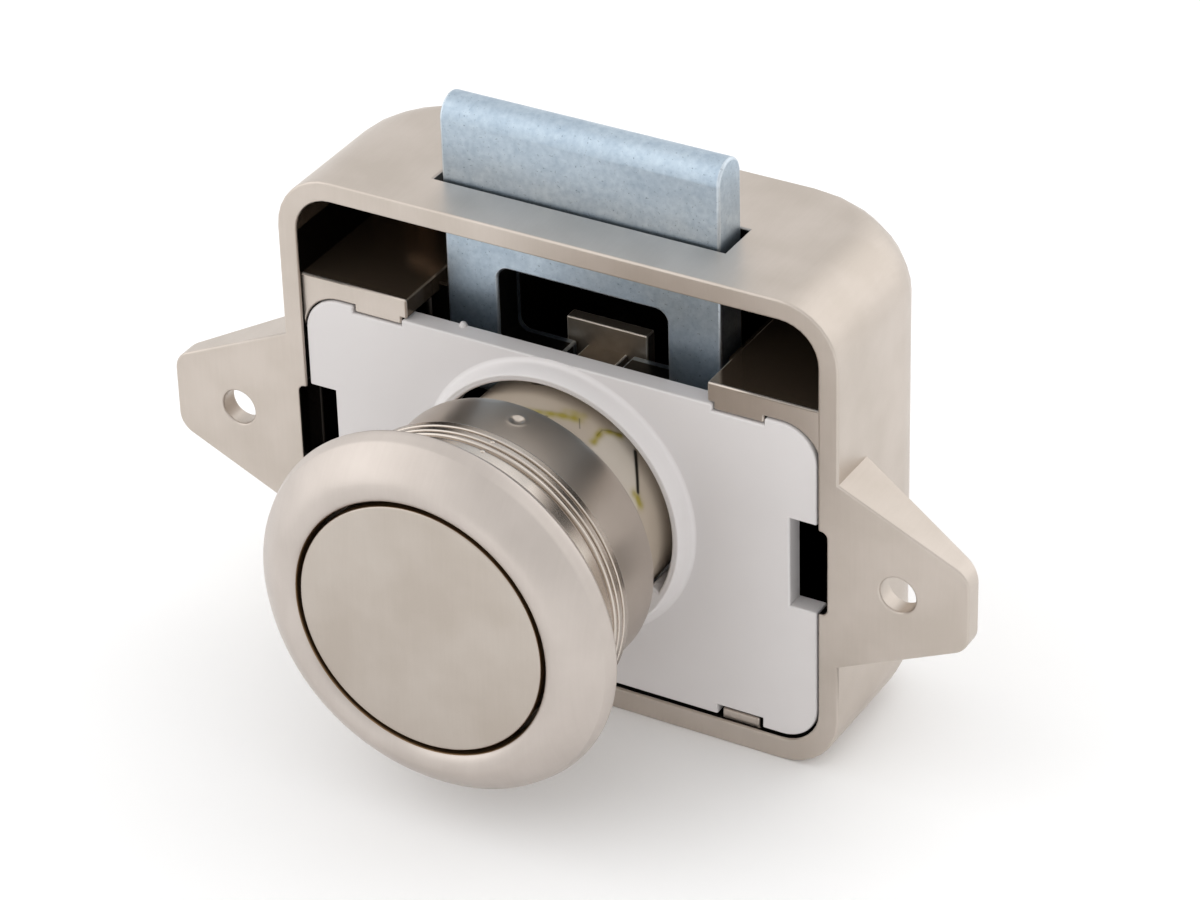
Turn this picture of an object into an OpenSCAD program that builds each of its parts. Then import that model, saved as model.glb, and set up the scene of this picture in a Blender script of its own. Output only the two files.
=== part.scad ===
// Push button cabinet lock: sprung bolt in a cast case, push knob and door rosette.
// Millimetres. Origin on the button axis in the plane of the case rim and the ears.
// X to the right, Y into the cupboard, Z up the way the bolt shoots. Drawn locked.

/* [Case] */
// Case width
case_w = 57; // [55:0.5:60]
// Button axis to the top of the case
case_top = 26.7; // [26:0.1:28]
// Button axis to the bottom of the case
case_bottom = 21.3; // [20.5:0.1:23]
// Case depth
case_d = 18.9; // [18:0.1:24]
// Case wall
wall = 2; // [1.6:0.1:2.4]
// Case wall at the bottom
floor_t = 2.3; // [2:0.1:2.6]
// Corner radius of the case seen from the front
corner_r = 5.8; // [4:0.1:8]
// Corner radius of the case's upright back edges
back_r = 6.3; // [3:0.1:8]

/* [Ears] */
// Width over both ears
ear_span = 82.4; // [80:0.2:88]
// Distance between the two ear holes
ear_pitch = 68.6; // [67.5:0.1:70]
// Ear hole diameter
ear_hole_d = 3.5; // [2.8:0.1:4.5]
// Ear height at the case
ear_root_h = 19.2; // [16:0.2:24]
// Ear height at the tip
ear_tip_h = 9.6; // [8:0.2:14]
// Ear thickness at the case
ear_root_t = 5.7; // [4:0.1:8]
// Ear thickness at the tip
ear_tip_t = 2; // [1.5:0.1:3]
// Rounding of the ear tip
ear_tip_r = 2.2; // [2:0.1:3]
// Wall left along the ear's edges where its back is cored out
ear_edge = 1.6; // [1.2:0.1:1.8]

/* [Ribs in the case] */
// Clear width between the two ribs
rib_clear_w = 30.8; // [30:0.2:34]
// Height of the ribs' upper faces
rib_top = 16.3; // [15.8:0.1:17.5]
// Rib thickness
rib_t = 2; // [1.4:0.1:3]
// Rib front edge behind the rim
rib_y = 0.5; // [0.2:0.1:0.7]
// Cover seats under the ribs reach this far behind the rim
seat_back = 7.2; // [6:0.1:12]
// Tab from the rib's free end
tab_in = 0.6; // [0.3:0.1:1]
// Width of the tab under each rib
tab_w = 5; // [3:0.5:7]
// Height of the tab under each rib
tab_h = 0.7; // [0.5:0.1:1.5]

/* [Cover] */
// Cover front face behind the rim
cover_y = 0.3; // [0.2:0.1:0.4]
// Cover thickness
cover_t = 2.1; // [1.8:0.1:2.3]
// Gap between cover, ribs and tabs
cover_top_gap = 0.1; // [0.1:0.05:0.3]
// Gap between cover and case wall
cover_gap = 0.25; // [0.2:0.05:0.4]
// Rounding of the cover's corners
cover_r = 3.6; // [2:0.2:5]
// Collar bore diameter
collar_d = 25.3; // [25:0.1:25.6]
// Collar wall at its front lip
collar_lip = 0.7; // [0.5:0.05:0.9]
// Reach of the collar's foot on the cover
collar_foot = 1.3; // [1.1:0.05:1.4]
// Collar height in front of the rim
collar_h = 1.5; // [1.2:0.1:3]
// Width of the pads that guide the plunger in the collar
pad_w = 3; // [2:0.1:4]
// Height of the side notches
side_notch_h = 9.2; // [6:0.2:12]
// Depth of the side notches
side_notch_w = 2.7; // [2:0.1:5]
// Depth of the shallow pocket in the case rim at each side notch
rim_pocket = 0.85; // [0.4:0.05:1.2]
// Rounding of that pocket's corners
pocket_r = 0.6; // [0.3:0.1:0.7]
// Width of the bottom clip notches
clip_w = 4.6; // [3:0.2:7]
// Depth of the bottom clip notches
clip_h = 1; // [0.8:0.1:2]
// Bottom clip notch from the middle
clip_x = 18.4; // [14:0.2:20]

/* [Bolt] */
// Bolt width
bolt_w = 28.2; // [26:0.2:28.6]
// Bolt thickness
bolt_t = 4; // [3.4:0.1:5]
// Bolt front face behind the rim
bolt_y = 5.5; // [5.3:0.1:6.5]
// Bolt height above the case when locked
bolt_out = 7.9; // [7:0.1:9]
// Case top to the top of the bolt's window
window_drop = 7.8; // [6.5:0.1:9]
// Window height
window_h = 8.1; // [7.5:0.1:9]
// Window width
window_w = 17.4; // [15:0.2:20]
// Rounding of the window's corners
window_r = 1.2; // [0.6:0.1:2]
// Depth of the notch for the driver's stem below the window
notch_h = 2.6; // [2.4:0.1:3.4]
// Metal under the notch
web_h = 2.7; // [2:0.1:4]
// Travel of the bolt when a closing door pushes it down
slam = 8; // [6:0.1:8]
// Bolt guides below the button axis
guide_low = 4; // [2:0.1:6]
// Gap between bolt and slot at each side
slot_gap = 0.7; // [0.4:0.1:0.9]

/* [Driver] */
// Driver thickness and stem width
stem_w = 4.1; // [3.5:0.1:4.3]
// Stem height
stem_h = 2; // [1.6:0.1:2.2]
// Gap between stem and notch at each side
notch_gap = 0.9; // [0.4:0.1:1.2]
// Width of the hook bar behind the bolt
hook_w = 8.4; // [7.5:0.2:12]
// Thickness of the hook bar
hook_t = 1.4; // [1:0.1:2]
// Hook bar above the window's lower edge
hook_show = 2.1; // [1.5:0.1:3]
// Depth of the driver's post in front of the bolt
post_t = 3.4; // [3:0.2:6]
// Height of the driver's arm
arm_h = 4.6; // [4:0.1:5]
// Driver arm in front of the drive pin
arm_nose = 2.5; // [2.2:0.1:2.8]
// Gap between the driver's arm and the plunger at each side
arm_gap = 0.4; // [0.3:0.05:0.5]
// Drive pin above the button axis when locked
pin_z = 6.75; // [6.4:0.05:6.8]
// Drive pin diameter
pin_d = 2; // [1.6:0.1:2.2]
// Drive pin length
pin_len = 10.8; // [10:0.1:11]
// Gap between the rollers and the driver's arm
roller_side = 0.1; // [0.05:0.05:0.2]
// Drive pin beyond the rollers
pin_show = 0.2; // [0.1:0.05:0.4]
// Drive roller outside diameter
roller_d = 2.8; // [2.6:0.1:3]

/* [Knob] */
// Knob diameter
knob_d = 24.1; // [23.6:0.1:24.4]
// Knob travel out of the rosette, and bolt travel, on the 45 degree slots
travel = 8.4; // [7:0.1:8.6]
// Further press of the flush knob that trips the latch
over_press = 1; // [0.6:0.1:1.2]
// Face disc thickness
disc_t = 1.2; // [0.8:0.1:1.6]
// Face disc below the rosette's lip
disc_sunk = 0.2; // [0:0.1:1.2]
// Chamfer of the disc's edge
disc_edge = 0.15; // [0.1:0.05:0.4]
// Knob barrel wall
barrel_wall = 1; // [0.8:0.1:1.1]
// Knob barrel length
barrel_len = 12.8; // [11:0.1:13.5]
// Knob barrel end wall under the disc
barrel_end = 2.4; // [2.2:0.1:3]
// Knob screw shank diameter
screw_d = 4; // [3:0.5:5]
// Knob screw head diameter
screw_head_d = 7.6; // [6.5:0.1:9]
// Knob screw length
screw_len = 8; // [6:0.5:8.5]

/* [Plunger] */
// Plunger diameter
plunger_d = 22.8; // [22.6:0.1:23.2]
// Gap between the plunger's shoulder and the barrel
shoulder_gap = 0.2; // [0.1:0.05:0.4]
// Metal behind the closed ends of the slanted slots
slot_wall = 1.4; // [1.2:0.1:2]
// Plunger spring axis below the button axis
spring_drop = 7.6; // [7.5:0.05:7.8]
// Plunger spring bore diameter
spring_bore_d = 5.2; // [4.8:0.1:5.4]
// Plunger wall in front of the spring bore
bore_end = 1.6; // [1.4:0.1:2]
// Depth of the flat for the latch pin's track
track_flat = 1.2; // [1.1:0.1:1.3]
// Depth of the latch pin's track
track_depth = 1.6; // [1.2:0.1:2]

/* [Springs and latch] */
// Spring wire of the plunger spring
plunger_wire = 0.6; // [0.4:0.05:0.7]
// Turns of the plunger spring
plunger_turns = 11; // [6:1:13]
// Spring wire of the bolt springs
bolt_wire = 0.55; // [0.4:0.05:0.6]
// Bolt spring outside diameter
bolt_spring_d = 3.8; // [3.4:0.1:4]
// Turns of each bolt spring
bolt_turns = 12; // [6:1:14]
// Bolt spring axis from the middle
bolt_spring_x = 9.5; // [8:0.1:11]
// Length of the pins in the bolt springs
spring_pin_h = 6.5; // [4:0.5:7.5]
// Latch pin wire diameter
latch_d = 1.2; // [1:0.05:1.2]
// Latch pin track wall at the plunger's back end
latch_back = 2.6; // [2.2:0.1:3]
// Gap between the latch arm and the plunger's flat
latch_gap = 0.5; // [0.4:0.05:0.7]
// Gap between the latch arm and its lug
lug_gap = 0.7; // [0.6:0.05:0.9]
// Width of the latch lug
lug_w = 3; // [2.4:0.1:3.4]
// Height of the latch lug
lug_h = 4.4; // [4:0.1:5]
// Spring bridge thickness
bridge_t = 0.9; // [0.6:0.1:1]
// Spring bridge height
bridge_h = 5; // [4:0.1:5.2]
// Distance between the bridge screws
bridge_pitch = 33.6; // [33:0.2:36]
// Bridge screw head diameter
bridge_screw_d = 3.2; // [2.8:0.1:3.6]
// Bridge screw head height
bridge_screw_h = 1; // [0.8:0.1:1.2]
// Length of the post in the plunger spring
post_len = 8; // [5:0.5:9]
// Leaf spring width
leaf_w = 3.2; // [2.8:0.1:3.6]
// Leaf spring shorter than the latch arm
leaf_short = 5; // [4:0.1:6]
// Leaf spring thickness
leaf_t = 0.3; // [0.2:0.05:0.4]

/* [Rosette] */
// Door panel thickness between rosette and case
panel_t = 19; // [18.4:0.1:19.4]
// Rosette diameter
ring_d = 35.6; // [34.6:0.2:42]
// Rosette height on the door
ring_h = 5.3; // [4.8:0.1:6]
// Rosette's widest place above the door
limb_up = 1.7; // [1.5:0.1:2.2]
// Rosette's crest outside its bore
crest_in = 1.5; // [1:0.1:2]
// Fullness of the rosette's dome, 1 is a cone and 2 an ellipse
ring_full = 1.4; // [1.2:0.1:2]
// Bevel between the rosette's widest place and its flat on the door
land_in = 1.2; // [0.8:0.1:1.4]
// Gap between knob and rosette
knob_gap = 0.55; // [0.3:0.05:0.8]
// Sleeve wall
sleeve_wall = 1.3; // [0.8:0.1:1.6]
// Sleeve back end in front of the rim
sleeve_end = 6.8; // [6:0.1:8]
// Rosette lip in front of the sleeve
sleeve_sunk = 3; // [2.6:0.1:3.4]
// Wall of the rosette's neck
neck_wall = 0.45; // [0.4:0.05:0.8]
// Neck length behind the flange
neck_len = 5.9; // [5:0.1:7]
// Length of the neck's plain end at the flange
neck_root = 3.3; // [2.8:0.1:4]
// Number of ridges on the neck
ridges = 3; // [2:1:5]
// Height of each ridge on the neck
ridge_h = 0.4; // [0.2:0.05:0.5]

/* [Fits] */
// Sliding clearance between flat faces
slide_gap = 0.3; // [0.2:0.05:0.35]
// Clearance between the bolt and the driver's stem it hangs on
seat_gap = 0.2; // [0.1:0.05:0.3]
// Clearance of plunger and collar pads
guide_gap = 0.25; // [0.2:0.05:0.3]
// Clearance of pressed and seated round pieces
press_gap = 0.05; // [0.02:0.01:0.08]
// Running clearance of pins in bores
run_gap = 0.05; // [0.03:0.01:0.08]
// Clearance of the rollers in their slots
roller_gap = 0.2; // [0.15:0.05:0.25]
// Clearance between a spring and its bore
bore_gap = 0.2; // [0.15:0.05:0.3]
// Clearance between a spring and the pin inside it
coil_gap = 0.3; // [0.2:0.05:0.4]
// Clearance at a spring's ends
spring_gap = 0.1; // [0.05:0.05:0.2]

/* [Hidden] */
$fn = 64;

half_w = case_w/2;
in_x = half_w - wall;
in_top = case_top - wall;
in_bottom = -(case_bottom - floor_t);
in_back = case_d - wall;
in_r = max(corner_r - wall, 0.6);
cover_back = cover_y + cover_t;
tab_x = rib_clear_w/2 + tab_in;
tab_z = rib_top - rib_t - tab_h;

// Bolt and window heights
bolt_back = bolt_y + bolt_t;
bolt_mid = bolt_y + bolt_t/2;
bolt_tip = case_top + bolt_out;
window_z1 = case_top - window_drop;
window_z0 = window_z1 - window_h;
notch_z0 = window_z0 - notch_h;
bolt_z0 = notch_z0 - web_h;
stem_z0 = notch_z0 + seat_gap;
stem_z1 = stem_z0 + stem_h;

// Places along the button axis, from the bolt forwards
drive_back = bolt_y - slide_gap;
bridge_y = drive_back - bridge_t;
plunger_back = bridge_y - slide_gap - over_press;
slot_r = roller_d/2 + roller_gap;
pin_y = plunger_back - slot_wall - slot_r - travel;
slit_x = stem_w/2 + arm_gap;
slit_y = pin_y - arm_nose - over_press - slide_gap;
slit_z = pin_z - travel - arm_h/2 - slide_gap;
slit_top = pin_z + arm_h/2 + over_press + slide_gap;
post_y = drive_back - post_t;

// Rosette and knob heights in front of the rim
lip_h = panel_t + ring_h;
disc_h = lip_h - disc_sunk;
barrel_h = disc_h - disc_t;
core_h = barrel_h - barrel_end;
knob_r = knob_d/2;
bore_r = knob_r + knob_gap;
sleeve_r = bore_r + sleeve_wall;
sleeve_h = lip_h - sleeve_sunk;
neck_r = sleeve_r + press_gap + neck_wall;
land_r = ring_d/2 - land_in;
barrel_back = barrel_len - barrel_h;
shoulder_y = barrel_back + shoulder_gap;
core_r = knob_r - barrel_wall - press_gap;
plunger_r = plunger_d/2;

// Latch pin: pivot behind the cover, tip in the plunger's track
latch_r = latch_d/2;
latch_x = plunger_r - track_flat + latch_r + latch_gap;
latch_y = (cover_back + drive_back)/2;
tip_y = plunger_back - latch_back - travel;
lug_x = latch_x + latch_r + lug_gap;

spring_r = spring_bore_d/2 - bore_gap;
bridge_x = bridge_pitch/2;
post_r = spring_r - plunger_wire - coil_gap;
bridge_screw_r = bridge_screw_d/2;
spring_pin_r = bolt_spring_d/2 - bolt_wire - coil_gap;

// An outline in X and Z, made into a slab from one depth to another
module slab(y0, y1) {
  translate([0, y1, 0])
    rotate([90, 0, 0])
      linear_extrude(y1 - y0)
        children();
}

// An outline in Y and Z, made into a plate from one side to another
module plate(x0, x1) {
  translate([x0, 0, 0])
    rotate([90, 0, 90])
      linear_extrude(x1 - x0)
        children();
}

// An outline of radius and height in front of the rim, turned about the button axis
module turned() {
  rotate([90, 0, 0])
    rotate_extrude()
      children();
}

// A round bar along Y
module bar_y(r, y0, y1) {
  translate([0, y1, 0])
    rotate([90, 0, 0])
      cylinder(r = r, h = y1 - y0);
}

// A round bar along X
module bar_x(r, x0, x1) {
  translate([x0, 0, 0])
    rotate([0, 90, 0])
      cylinder(r = r, h = x1 - x0);
}

// A box between two corners
module block(a, b) {
  translate(a)
    cube(b - a);
}

// A rectangle with four rounded corners
module rounded(x0, x1, y0, y1, r) {
  translate([x0 + r, y0])
    square([x1 - x0 - 2*r, y1 - y0]);
  translate([x0, y0 + r])
    square([x1 - x0, y1 - y0 - 2*r]);
  for (x = [x0 + r, x1 - r])
    for (y = [y0 + r, y1 - r])
      translate([x, y])
        circle(r);
}

// Both sides of the middle plane
module both_sides() {
  children();
  mirror([1, 0, 0])
    children();
}

// Points of a quarter of an ellipse about a centre, from one angle to another
function arc(c, a, b, from, to, n) =
  [for (i = [0:n]) let (t = from + (to - from)*i/n) [c[0] + a*cos(t), c[1] + b*sin(t)]];

// A coil spring as one unbroken tube: rings of six points round a helix, closed flat at both ends
rings_a_turn = 8;
sides = 6;
function coil_point(r, len, turns, i, j, wire) =
  let (n = turns*rings_a_turn, a = 360*i/rings_a_turn, t = 360*j/sides,
       z = wire/2 + (len - wire)*i/n, q = r + wire/2*cos(t))
  [q*cos(a), q*sin(a), z + wire/2*sin(t)];
module coil(d, wire, len, turns) {
  r = (d - wire)/2;
  n = turns*rings_a_turn;
  points = [for (i = [0:n]) for (j = [0:sides - 1]) coil_point(r, len, turns, i, j, wire)];
  walls = [for (i = [0:n - 1]) for (j = [0:sides - 1]) let (k = (j + 1) % sides, a = i*sides, b = a + sides)
    each [[a + j, a + k, b + j], [a + k, b + k, b + j]]];
  first = [for (j = [1:sides - 2]) [0, j + 1, j]];
  last = [for (j = [1:sides - 2]) [n*sides, n*sides + j, n*sides + j + 1]];
  echo("gap between turns", (len - wire)/turns - wire);
  polyhedron(points, concat(walls, first, last), convexity = 10);
}

// One ear outline from the front, right side, drawn in by an inset: straight flanks that run into the rounded tip
module ear_outline(inset) {
  tip = ear_span/2 - ear_tip_r;
  fall = atan2((ear_root_h - ear_tip_h)/2, tip - half_w);
  z = ear_tip_h/2 - ear_tip_r/cos(fall);
  root_h = ear_root_h - 2*inset/cos(fall);
  hull() {
    translate([in_x, -root_h/2])
      square([wall, root_h]);
    for (s = [-1, 1])
      translate([tip, s*z])
        circle(ear_tip_r - inset);
  }
}

module ear() {
  difference() {
    intersection() {
      slab(0, ear_root_t)
        ear_outline(0);
      linear_extrude(ear_root_h + 2, center = true)
        polygon([[in_x + wall/2, 0], [ear_span/2, 0], [ear_span/2, ear_tip_t], [half_w, ear_root_t],
          [in_x + wall/2, ear_root_t]]);
    }
    translate([ear_pitch/2, 0, 0])
      bar_y(ear_hole_d/2, -1, ear_root_t + 1);
    slab(ear_tip_t, ear_root_t + 1)
      ear_outline(ear_edge);
  }
}

// The case box: rounded from the front, and drawn in round its upright back edges
module case_box(x, z0, z1, y0, y1, r, rb) {
  steps = 6;
  skin = 0.02;
  hull() {
    slab(y0, y1 - rb)
      rounded(-x, x, z0, z1, r, $fn = 32);
    for (i = [1:steps])
      let (t = 90*i/steps, y = y1 - rb + rb*sin(t), in = rb*(1 - cos(t)))
        slab(y - skin, y)
          rounded(-x + in, x - in, z0, z1, r, $fn = 32);
  }
}

// Rib, tab, bolt guide and cover seats at the right side of the case
module case_inside() {
  rail_x = bolt_w/2 + slide_gap;
  rib_z0 = rib_top - rib_t;
  lap = in_x + wall/2;
  block([rib_clear_w/2, rib_y, rib_z0], [lap, in_back + wall/2, rib_top]);
  block([tab_x, rib_y, tab_z], [tab_x + tab_w, cover_back, rib_z0 + rib_t/2]);
  block([rail_x, seat_back - 1, -guide_low], [rib_clear_w/2 + 1, in_back + wall/2, rib_z0 + rib_t/2]);
  block([bolt_spring_x - 0.5, bolt_back + slide_gap, bolt_z0 - travel - slam], [rail_x - 2, in_back + wall/2, in_top + wall/2]);
  block([in_x - 3, cover_back, in_bottom - wall/2], [lap, in_back + wall/2, in_bottom + 3]);
  block([in_x - 2, cover_back, rib_z0 - 3], [lap, seat_back, rib_z0 + rib_t/2]);
  difference() {
    block([in_x - cover_r - cover_gap, rib_y, rib_z0 - cover_r - cover_gap], [lap, cover_back, rib_z0 + rib_t/2]);
    slab(rib_y - 1, cover_back + 1)
      rounded(-in_x, in_x, in_bottom, rib_z0, cover_r + cover_gap);
  }
  block([clip_x - clip_w/2 + 0.4, rib_y, in_bottom - wall/2], [clip_x + clip_w/2 - 0.4, cover_back, in_bottom + 1]);
}

module case() {
  color([0.78, 0.75, 0.71])
    difference() {
      union() {
        difference() {
          case_box(half_w, -case_bottom, case_top, 0, case_d, corner_r, back_r);
          case_box(in_x, in_bottom, in_top, -1, in_back, in_r, max(back_r - wall, 0.6));
        }
        both_sides()
          ear();
        intersection() {
          both_sides()
            case_inside();
          case_box(in_x + wall/2, in_bottom - wall/2, in_top + wall/2, 0, in_back + wall/2, in_r + wall/2,
            max(back_r - wall, 0.6) + wall/2);
        }
      }
      block([-bolt_w/2 - slot_gap, bolt_y - slide_gap, in_top - 1],
        [bolt_w/2 + slot_gap, bolt_back + slide_gap, case_top + 1]);
      for (s = [-1, 1])
        translate([s*bolt_spring_x, bolt_mid, in_bottom - wall/2])
          cylinder(r = spring_pin_r + press_gap, h = wall);
      both_sides()
        slab(-1, cover_back)
          rounded(in_x - 1, in_x + rim_pocket, -side_notch_h/2 + 0.3, side_notch_h/2 - 0.3, pocket_r);
    }
}

module cover_outline() {
  x = in_x - cover_gap;
  z1 = rib_top - rib_t - cover_top_gap;
  rounded(-x, x, in_bottom + cover_gap, z1, cover_r);
}

// Lug behind the cover that carries the latch pin's pivot and its leaf spring
module lug() {
  difference() {
    block([-lug_x - lug_w, cover_back - 0.4, -lug_h/2], [-lug_x, drive_back - 0.1, lug_h/2]);
    translate([0, latch_y, 0])
      bar_x(latch_r + run_gap, -lug_x - lug_w - 1, 0);
    leaf_tab();
  }
}

module cover() {
  r = collar_d/2;
  color([0.93, 0.93, 0.92])
    difference() {
      union() {
        slab(cover_y, cover_back)
          cover_outline();
        turned()
          polygon(concat([[r, collar_h], [r, -cover_back], [r + collar_foot, -cover_back]],
            arc([r + collar_foot, collar_h], collar_lip - collar_foot, -collar_h - cover_y, 90, 0, 12)));
        lug();
        for (s = [-1, 1])
          translate([s*bridge_x, 0, -spring_drop])
            bar_y(bridge_screw_r + 0.8, cover_back - 0.4, bridge_y);
        for (a = [-35, -90, -145])
          rotate([0, -a, 0])
            block([plunger_r + guide_gap, -collar_h, -pad_w/2], [r + 0.4, cover_back, pad_w/2]);
      }
      difference() {
        union() {
          bar_y(r, -collar_h - 1, cover_back + 0.01);
          block([-lug_x - leaf_t, -collar_h - 1, -leaf_w/2 - leaf_t], [0, cover_back + 0.01, leaf_w/2 + leaf_t]);
        }
        for (a = [-35, -90, -145])
          rotate([0, -a, 0])
            block([plunger_r + guide_gap, -collar_h, -pad_w/2], [r + 0.4, cover_back + 1, pad_w/2]);
        lug_room();
      }
      both_sides() {
        block([in_x - cover_gap - side_notch_w, cover_y - 1, -side_notch_h/2],
          [in_x, cover_back + 1, side_notch_h/2]);
        block([clip_x - clip_w/2, cover_y - 1, in_bottom], [clip_x + clip_w/2, cover_back + 1,
          in_bottom + cover_gap + clip_h]);
        block([tab_x - cover_top_gap, cover_y - 1, tab_z - cover_top_gap],
          [tab_x + tab_w + cover_top_gap, cover_back + 1, rib_top]);
      }
      for (s = [-1, 1])
        translate([s*bridge_x, 0, -spring_drop])
          bar_y(bridge_screw_r/2, cover_y + 0.6, bridge_y + 1);
    }
}

// Keeps the lug's inner edge when the collar is bored
module lug_room() {
  block([-lug_x - lug_w, cover_back - 0.4, -lug_h/2], [-lug_x, drive_back, lug_h/2]);
}

module bolt() {
  notch_x = stem_w/2 + notch_gap;
  nose_z = bolt_tip - bolt_t/2;
  color([0.66, 0.72, 0.78])
    difference() {
      plate(-bolt_w/2, bolt_w/2)
        union() {
          translate([bolt_y, bolt_z0])
            square([bolt_t, nose_z - bolt_z0]);
          translate([bolt_mid, nose_z])
            circle(bolt_t/2);
        }
      slab(bolt_y - 1, bolt_back + 1)
        union() {
          rounded(-window_w/2, window_w/2, window_z0, window_z1, window_r);
          translate([-notch_x, notch_z0])
            square([2*notch_x, notch_h + window_h/2]);
        }
    }
}

module driver() {
  x = stem_w/2;
  bar_y0 = bolt_back + slide_gap;
  color([0.70, 0.67, 0.62])
    difference() {
      union() {
        block([-x, pin_y - arm_nose, pin_z - arm_h/2], [x, drive_back, pin_z + arm_h/2]);
        block([-x, post_y, pin_z - arm_h/2], [x, drive_back, stem_z1]);
        block([-x, drive_back - 1, stem_z0], [x, bar_y0 + hook_t/2, stem_z1]);
        block([-hook_w/2, bar_y0, stem_z0], [hook_w/2, bar_y0 + hook_t, window_z0 + hook_show]);
      }
      translate([0, pin_y, pin_z])
        bar_x(pin_d/2, -x - 1, x + 1);
    }
}

module drive_pin() {
  color([0.60, 0.60, 0.62])
    translate([0, pin_y, pin_z])
      bar_x(pin_d/2, -pin_len/2, pin_len/2);
}

module drive_rollers() {
  x0 = stem_w/2 + roller_side;
  x1 = pin_len/2 - pin_show;
  color([0.85, 0.80, 0.60])
    both_sides()
      translate([0, pin_y, pin_z])
        difference() {
          bar_x(roller_d/2, x0, x1);
          bar_x(pin_d/2 + run_gap, x0 - 1, x1 + 1);
        }
}

module bolt_springs() {
  z0 = in_bottom + spring_gap;
  color([0.55, 0.56, 0.58])
    for (s = [-1, 1])
      translate([s*bolt_spring_x, bolt_mid, z0])
        coil(bolt_spring_d, bolt_wire, bolt_z0 - spring_gap - z0, bolt_turns);
}

module spring_pins() {
  color([0.62, 0.62, 0.64])
    for (s = [-1, 1])
      translate([s*bolt_spring_x, bolt_mid, in_bottom - wall/2])
        cylinder(r = spring_pin_r, h = wall/2 + spring_pin_h);
}

// The slanted slot that turns the knob's travel into the driver's, seen from the side
module slot_outline() {
  a = [pin_y - over_press, pin_z + over_press];
  b = [pin_y + travel, pin_z - travel];
  run = (travel + over_press)*sqrt(2);
  translate(a)
    circle(slot_r);
  translate(b)
    circle(slot_r);
  translate(a)
    rotate(-45)
      translate([0, -slot_r])
        square([run, 2*slot_r]);
}

// Heart-shaped island in the latch pin's track, in depth and height about the pin's resting place
module heart() {
  polygon([[tip_y + 1, -1.7], [tip_y + 2, -1.2], [tip_y + 2.6, -0.8], [tip_y + 5.4, -0.4], [tip_y + 6.2, -1.4],
    [tip_y + 4.4, -2.4], [tip_y + 1.8, -2.5], [tip_y + 0.6, -2.2]]);
}

module plunger() {
  flat_x = plunger_r - track_flat;
  track_x = flat_x - track_depth;
  track_h = 2.9;
  color([0.90, 0.89, 0.85])
    difference() {
      union() {
        bar_y(core_r, -core_h, shoulder_y);
        bar_y(plunger_r, shoulder_y, plunger_back);
      }
      block([-slit_x, slit_y, slit_z], [slit_x, plunger_back + 1, slit_top]);
      block([-slit_x, post_y - over_press - slide_gap, slit_z], [slit_x, plunger_back + 1, plunger_r + 1]);
      plate(-pin_len/2 - slide_gap, pin_len/2 + slide_gap)
        slot_outline();
      translate([0, 0, -spring_drop])
        bar_y(spring_bore_d/2, -core_h + bore_end, plunger_back + 1);
      bar_y(screw_d/2 + press_gap, -core_h - 1, -barrel_h + screw_len + 0.6);
      block([-plunger_r - 1, shoulder_y, -plunger_r], [-flat_x, plunger_back + 1, plunger_r]);
      difference() {
        block([-plunger_r - 1, tip_y - over_press - latch_r - 0.3, -track_h],
          [-track_x, tip_y + travel + latch_r + 0.3, track_h]);
        plate(-plunger_r, 0)
          heart();
      }
    }
}

module plunger_spring() {
  y0 = -core_h + bore_end + spring_gap;
  color([0.55, 0.56, 0.58])
    translate([0, bridge_y - spring_gap, -spring_drop])
      rotate([90, 0, 0])
        coil(2*spring_r, plunger_wire, bridge_y - spring_gap - y0, plunger_turns);
}

module spring_bridge() {
  x = bridge_x + bridge_screw_r + 0.8;
  color([0.68, 0.68, 0.70])
    difference() {
      slab(bridge_y, drive_back)
        rounded(-x, x, -spring_drop - bridge_h/2, -spring_drop + bridge_h/2, 1);
      translate([0, 0, -spring_drop])
        bar_y(post_r*0.7, bridge_y - 1, drive_back + 1);
      for (s = [-1, 1])
        translate([s*bridge_x, 0, -spring_drop])
          bar_y(bridge_screw_r*0.65, bridge_y - 1, drive_back + 1);
    }
}

module spring_post() {
  color([0.62, 0.62, 0.64])
    translate([0, 0, -spring_drop]) {
      bar_y(post_r, bridge_y - post_len, bridge_y);
      bar_y(post_r*0.7 - press_gap, bridge_y - 1, drive_back);
    }
}

module bridge_screws() {
  color([0.50, 0.50, 0.52])
    for (s = [-1, 1])
      translate([s*bridge_x, 0, -spring_drop])
        difference() {
          union() {
            bar_y(bridge_screw_r, drive_back, drive_back + bridge_screw_h);
            bar_y(bridge_screw_r/2 - press_gap, cover_y + 0.8, drive_back + 0.5);
          }
          block([-bridge_screw_r, drive_back + bridge_screw_h/2, -0.2], [bridge_screw_r, drive_back + 2, 0.2]);
        }
}

module latch_pin() {
  color([0.55, 0.55, 0.57]) {
    translate([0, latch_y, 0])
      bar_x(latch_r, -lug_x - lug_w - 0.6, -latch_x);
    translate([-latch_x, 0, 0])
      bar_y(latch_r, tip_y, latch_y);
    translate([0, tip_y, 0])
      bar_x(latch_r, -latch_x, -plunger_r + track_flat + track_depth - 0.3);
    for (y = [tip_y, latch_y])
      translate([-latch_x, y, 0])
        sphere(r = latch_r);
  }
}

// The two tabs that hold the leaf spring in the lug, above and below the latch pin's pivot
module leaf_tab() {
  for (m = [0, 1])
    mirror([0, 0, m])
      block([-lug_x - lug_w/2, drive_back - 1, latch_r + coil_gap], [-lug_x + leaf_t/2, drive_back - 0.6, leaf_w/2]);
}

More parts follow.
